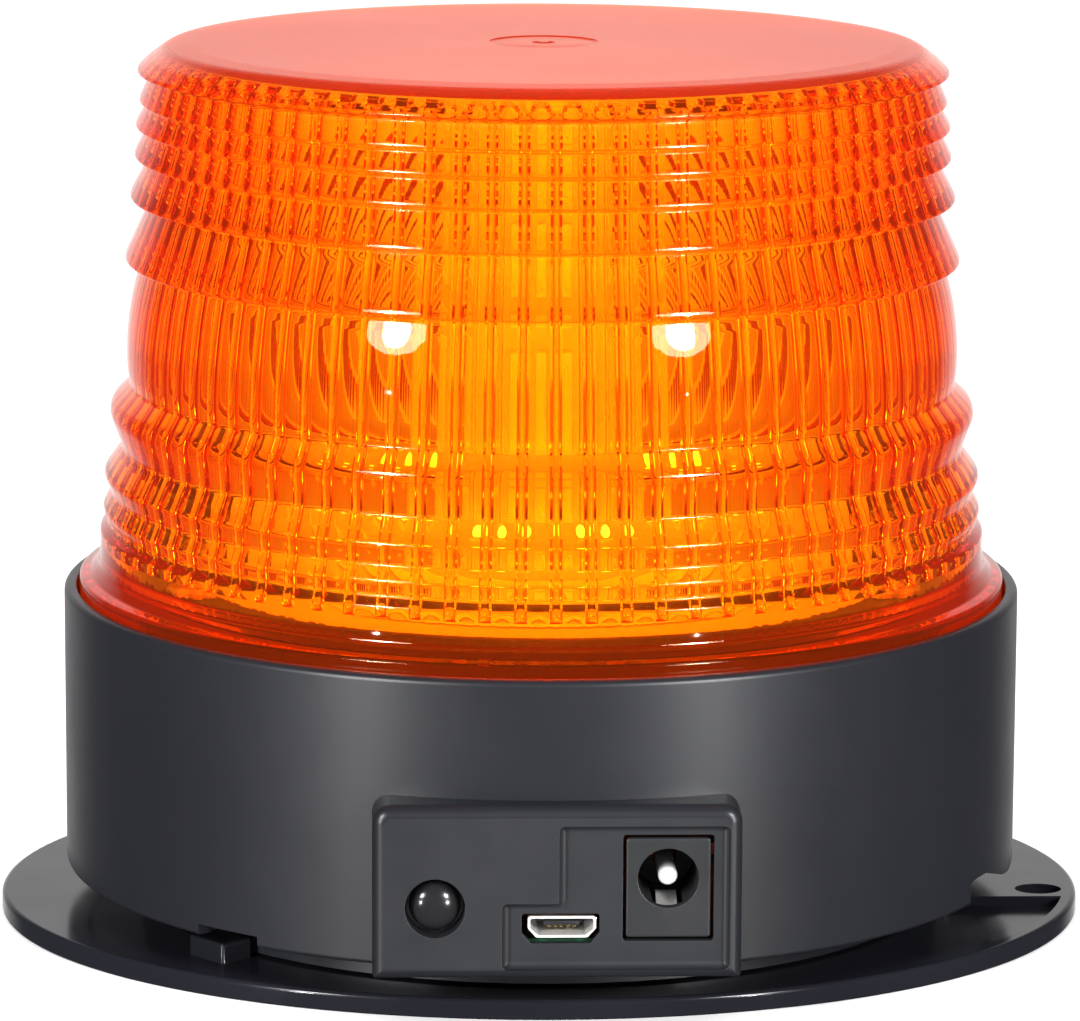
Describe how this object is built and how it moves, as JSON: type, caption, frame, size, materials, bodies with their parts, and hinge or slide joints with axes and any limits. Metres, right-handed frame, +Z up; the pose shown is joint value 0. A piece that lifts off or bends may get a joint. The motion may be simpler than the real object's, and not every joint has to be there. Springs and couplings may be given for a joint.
{
  "type": "LED warning beacon",
  "caption": "Rechargeable amber LED warning beacon: ribbed round lens on a black drum with charging sockets and a push button, standing on an oval magnetic mounting plate.",
  "frame": {"origin": "centre of the bottom face of the grip pad, on the drum's axis", "axes": "+Z up along the drum's axis, +X along the mounting plate's long axis, -Y out of the port panel"},
  "size_m": [0.1206, 0.1085, 0.097],
  "materials": {
    "lens": "clear amber polycarbonate",
    "black_satin": "satin black moulding",
    "black_gloss": "polished black moulding",
    "rubber": "matt rubber",
    "steel": "bright plated",
    "zinc_steel": "zinc plated",
    "ferrite": "sintered ferrite",
    "green_board": "green solder mask",
    "white_board": "white solder mask",
    "white_plastic": "white moulding",
    "cell": "shrink wrap",
    "wire_red": "soft insulation",
    "wire_black": "soft insulation"
  },
  "bodies": {
    "base": {"housing": "black_satin", "base_cover": "black_satin", "mounting_plate": "black_gloss", "grip_pad": "rubber", "ring_magnet": "ferrite", "magnet_yoke": "zinc_steel", "lens_gasket": "rubber", "base_screw_1": "steel", "base_screw_2": "steel", "base_screw_3": "steel", "base_screw_4": "steel", "battery_tray": "white_plastic", "battery_cell_1": "cell", "battery_cell_2": "cell", "battery_tab_left": "steel", "battery_tab_right": "steel", "port_board": "green_board", "board_screw_1": "steel", "board_screw_2": "steel", "dc_jack_body": "black_satin", "dc_jack_pin": "steel", "dc_jack_contact": "steel", "usb_shell": "steel", "usb_tongue": "black_satin", "switch_body": "black_satin", "controller_chip": "black_satin", "inductor": "ferrite", "capacitor": "cell", "battery_plug": "white_plastic", "battery_lead_red": "wire_red", "battery_lead_black": "wire_black", "led_lead_red": "wire_red", "led_lead_black": "wire_black", "deck_plate": "black_satin", "led_board": "white_board", "deck_screw_1": "steel", "deck_screw_2": "steel", "deck_screw_3": "steel", "deck_screw_4": "steel", "led_column": "white_plastic", "led_strip_1": "white_board", "led_strip_2": "white_board", "led_strip_3": "white_board", "led_strip_4": "white_board", "led_strip_5": "white_board", "led_strip_6": "white_board", "column_cap": "white_board"},
    "lens_cover": {"lens": "lens"},
    "push_button": {"button_cap": "black_gloss"},
    "switch_key": {"switch_plunger": "white_plastic"}
  },
  "joints": [
    {"name": "lens_twist", "type": "hinge", "parent": "base", "child": "lens_cover", "pos_m": [0, 0, 0.0353], "axis": [0, 0, 1], "range_deg": [0, 22]},
    {"name": "button_press", "type": "slide", "parent": "base", "child": "push_button", "axis": [0, 1, 0], "range_m": [0, 0.0005], "stiffness_N_per_m": 3000},
    {"name": "switch_travel", "type": "slide", "parent": "base", "child": "switch_key", "axis": [0, 1, 0], "range_m": [0, 0.0005], "stiffness_N_per_m": 1000}
  ],
  "couplings": [
    {"joint": "switch_travel", "follows": "button_press", "ratio": 1}
  ]
}
